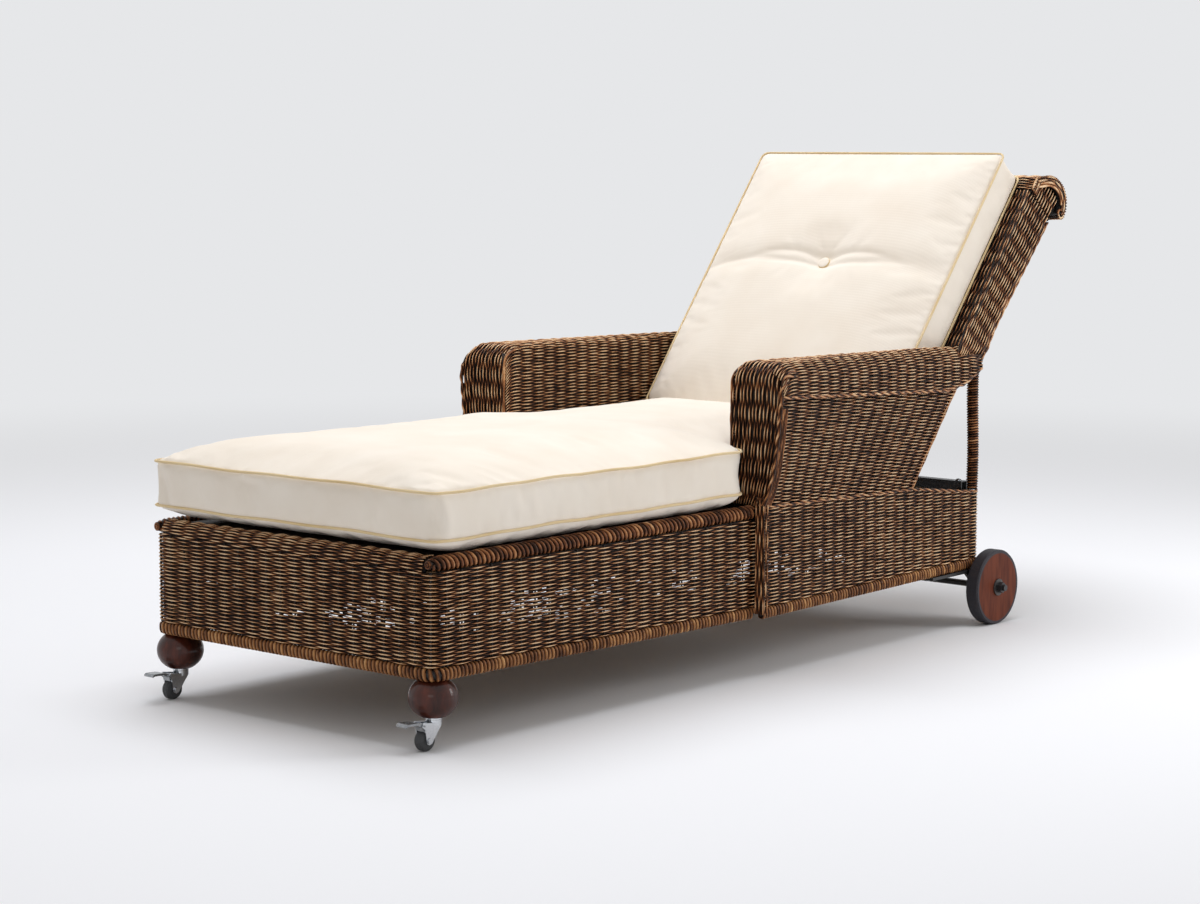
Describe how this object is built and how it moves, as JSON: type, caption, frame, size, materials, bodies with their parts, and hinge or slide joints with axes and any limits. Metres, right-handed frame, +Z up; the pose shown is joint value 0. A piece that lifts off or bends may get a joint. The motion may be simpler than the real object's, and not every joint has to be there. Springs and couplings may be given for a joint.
{
  "type": "sun lounger",
  "caption": "Woven wicker chaise lounge with arms, fixed reclined back, loose piped cushions, ball feet on braked casters at the foot and large wheels at the head.",
  "frame": {"origin": "on the floor under the middle of the whole object's box", "axes": "+Z up, -Y towards the foot end, +Y towards the head end, +X to the left of someone lying in it"},
  "size_m": [0.798, 1.923, 0.9496],
  "materials": {
    "wicker": "dark brown stain with a satin varnish, worn lighter on the strand tops",
    "wrapped_border": "lighter golden wrapping, satin varnish",
    "frame_pole": "plain sanded pole, unseen under the weave",
    "cushion": "matt cream woven cover with corded piping in the same cloth",
    "ball_foot": "dark stain, glossy lacquer",
    "chrome": "bright plated steel",
    "bright_steel": "zinc-plated steel",
    "black_steel": "black satin paint",
    "caster_tread": "moulded dark grey",
    "wheel_wood": "red-brown stain, satin varnish",
    "tyre": "matt black rubber"
  },
  "bodies": {
    "lounger": {"foot_apron": "wicker", "head_apron": "wicker", "foot_side_left": "wicker", "foot_side_right": "wicker", "chair_side_left": "wicker", "chair_side_right": "wicker", "side_rim_left": "wrapped_border", "side_rim_right": "wrapped_border", "end_borders": "wrapped_border", "border_left": "wrapped_border", "border_right": "wrapped_border", "front_posts": "wicker", "corner_posts": "wicker", "deck_weave": "wicker", "seat_slats": "frame_pole", "centre_beam": "frame_pole", "side_rail_left": "frame_pole", "side_rail_right": "frame_pole", "end_rails": "frame_pole", "side_panel_left": "wicker", "side_panel_right": "wicker", "arm_front_left": "wicker", "arm_front_right": "wicker", "arm_inner_left": "wicker", "arm_inner_right": "wicker", "arm_top_left": "wicker", "arm_top_right": "wicker", "rear_post_left": "wicker", "rear_post_right": "wicker", "cross_bar": "black_steel", "cross_bar_bolts": "bright_steel", "back_front": "wicker", "back_rear": "wicker", "back_side_left": "wicker", "back_side_right": "wicker", "back_scroll": "wicker", "back_stiles": "frame_pole", "back_rails": "frame_pole", "seat_cushion": "cushion", "back_cushion": "cushion", "tuft_buttons": "cushion", "ball_feet": "ball_foot", "caster_stems": "chrome", "rear_axle": "bright_steel", "axle_brackets": "black_steel", "bracket_bolts": "bright_steel", "axle_washers": "bright_steel", "axle_nuts": "black_steel"},
    "caster_left": {"caster_fork_left": "chrome", "caster_axle_left": "bright_steel"},
    "caster_right": {"caster_fork_right": "chrome", "caster_axle_right": "bright_steel"},
    "caster_roller_left": {"caster_wheel_left": "caster_tread"},
    "caster_roller_right": {"caster_wheel_right": "caster_tread"},
    "brake_left": {"brake_lever_left": "bright_steel"},
    "brake_right": {"brake_lever_right": "bright_steel"},
    "wheel_left": {"rear_wheel_left": "wheel_wood", "rear_tyre_left": "tyre"},
    "wheel_right": {"rear_wheel_right": "wheel_wood", "rear_tyre_right": "tyre"}
  },
  "joints": [
    {"name": "caster_swivel_left", "type": "hinge", "parent": "lounger", "child": "caster_left", "pos_m": [0.309, -0.88951, 0.045], "axis": [0, 0, 1], "continuous": true},
    {"name": "caster_roll_left", "type": "hinge", "parent": "caster_left", "child": "caster_roller_left", "pos_m": [0.309, -0.90951, 0.018], "axis": [1, 0, 0], "continuous": true},
    {"name": "brake_press_left", "type": "hinge", "parent": "caster_left", "child": "brake_left", "pos_m": [0.309, -0.92151, 0.0437], "axis": [1, 0, 0], "range_deg": [0, 12]},
    {"name": "caster_swivel_right", "type": "hinge", "parent": "lounger", "child": "caster_right", "pos_m": [-0.309, -0.88951, 0.045], "axis": [0, 0, 1], "continuous": true},
    {"name": "caster_roll_right", "type": "hinge", "parent": "caster_right", "child": "caster_roller_right", "pos_m": [-0.309, -0.90951, 0.018], "axis": [1, 0, 0], "continuous": true},
    {"name": "brake_press_right", "type": "hinge", "parent": "caster_right", "child": "brake_right", "pos_m": [-0.309, -0.92151, 0.0437], "axis": [1, 0, 0], "range_deg": [0, 12]},
    {"name": "wheel_roll_left", "type": "hinge", "parent": "lounger", "child": "wheel_left", "pos_m": [0.357, 0.68349, 0.076], "axis": [1, 0, 0], "continuous": true},
    {"name": "wheel_roll_right", "type": "hinge", "parent": "lounger", "child": "wheel_right", "pos_m": [-0.357, 0.68349, 0.076], "axis": [1, 0, 0], "continuous": true}
  ]
}
